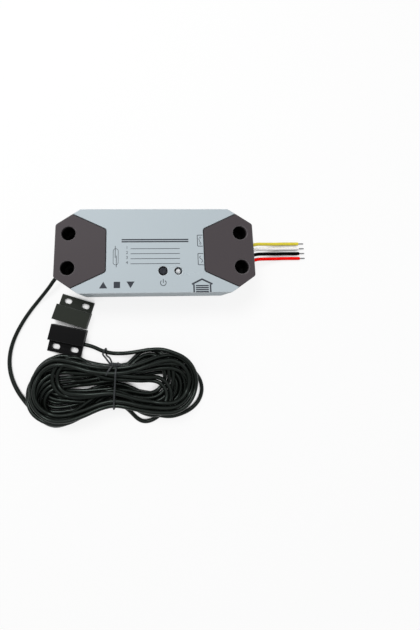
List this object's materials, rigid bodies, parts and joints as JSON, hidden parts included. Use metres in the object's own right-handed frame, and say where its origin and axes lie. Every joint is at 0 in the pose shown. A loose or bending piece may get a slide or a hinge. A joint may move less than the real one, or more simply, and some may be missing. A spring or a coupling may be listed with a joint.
{
  "type": "garage door controller",
  "caption": "Flat eight-sided relay controller with dark end covers, a push button and lamp, hook-up leads, and a corded reed switch with its magnet.",
  "frame": {"origin": "middle of the housing's underside, on the surface that it stands on", "axes": "+X along the housing towards the hook-up leads, +Y towards the side without the button, +Z out of the face"},
  "size_m": [0.201, 0.1321, 0.028],
  "materials": {
    "housing_grey": "fine moulded texture, light blue-grey",
    "cover_brown": "fine moulded texture, dark brown-grey",
    "screw_steel": "zinc plated",
    "board_green": "solder mask",
    "button_black": "satin",
    "chip_black": "moulded epoxy",
    "lens_clear": "clear polished",
    "tinned_metal": "tinned",
    "radio_blue": "solder mask",
    "shield_metal": "tin plated sheet",
    "relay_blue": "smooth",
    "ferrite_grey": "ferrite",
    "capacitor_sleeve": "shrink sleeve",
    "terminal_green": "satin",
    "grommet_rubber": "matte",
    "lead_yellow": "smooth insulation",
    "lead_white": "smooth insulation",
    "lead_black": "smooth insulation",
    "lead_red": "smooth insulation",
    "cord_black": "smooth satin jacket",
    "tie_black": "plastic covered wire",
    "reed_black": "satin moulding",
    "capsule_glass": "tinted glass",
    "potting_black": "cured resin",
    "magnet_grey": "satin moulding",
    "magnet_metal": "ferrite bar"
  },
  "bodies": {
    "housing": {"base_shell": "housing_grey", "face_cover": "housing_grey", "left_end_cover": "cover_brown", "right_end_cover": "cover_brown", "case_screws": "screw_steel", "circuit_board": "board_green", "board_screws": "screw_steel", "tact_switch": "chip_black", "indicator_lens": "lens_clear", "lamp_legs": "tinned_metal", "lamp_spacer": "chip_black", "radio_board": "radio_blue", "radio_shield": "shield_metal", "relay": "relay_blue", "power_inductor": "ferrite_grey", "capacitors": "capacitor_sleeve", "regulator_chip": "chip_black", "power_terminal": "terminal_green", "output_terminal": "terminal_green", "sensor_terminal": "terminal_green", "terminal_screws": "screw_steel", "lead_grommet": "grommet_rubber", "yellow_lead": "lead_yellow", "white_lead": "lead_white", "black_lead": "lead_black", "red_lead": "lead_red", "lead_ends": "tinned_metal", "cord_grommet": "grommet_rubber", "sensor_cores": "lead_white", "cord_start": "cord_black", "cord_hank": "cord_black", "cord_tail": "cord_black", "hank_tie": "tie_black", "reed_case": "reed_black", "reed_capsule": "capsule_glass", "reed_blades": "tinned_metal", "reed_potting": "potting_black"},
    "button": {"button_cap": "button_black", "tact_plunger": "button_black"},
    "magnet": {"magnet_case": "magnet_grey", "bar_magnet": "magnet_metal", "magnet_back": "magnet_grey"}
  },
  "joints": [
    {"name": "button_press", "type": "slide", "parent": "housing", "child": "button", "axis": [0, 0, -1], "range_m": [0, 0.0005], "stiffness_N_per_m": 300, "springref_m": -0.001},
    {"name": "magnet_slide", "type": "slide", "parent": "housing", "child": "magnet", "axis": [0.9537, -0.3007, 0], "range_m": [0, 0.025]}
  ]
}
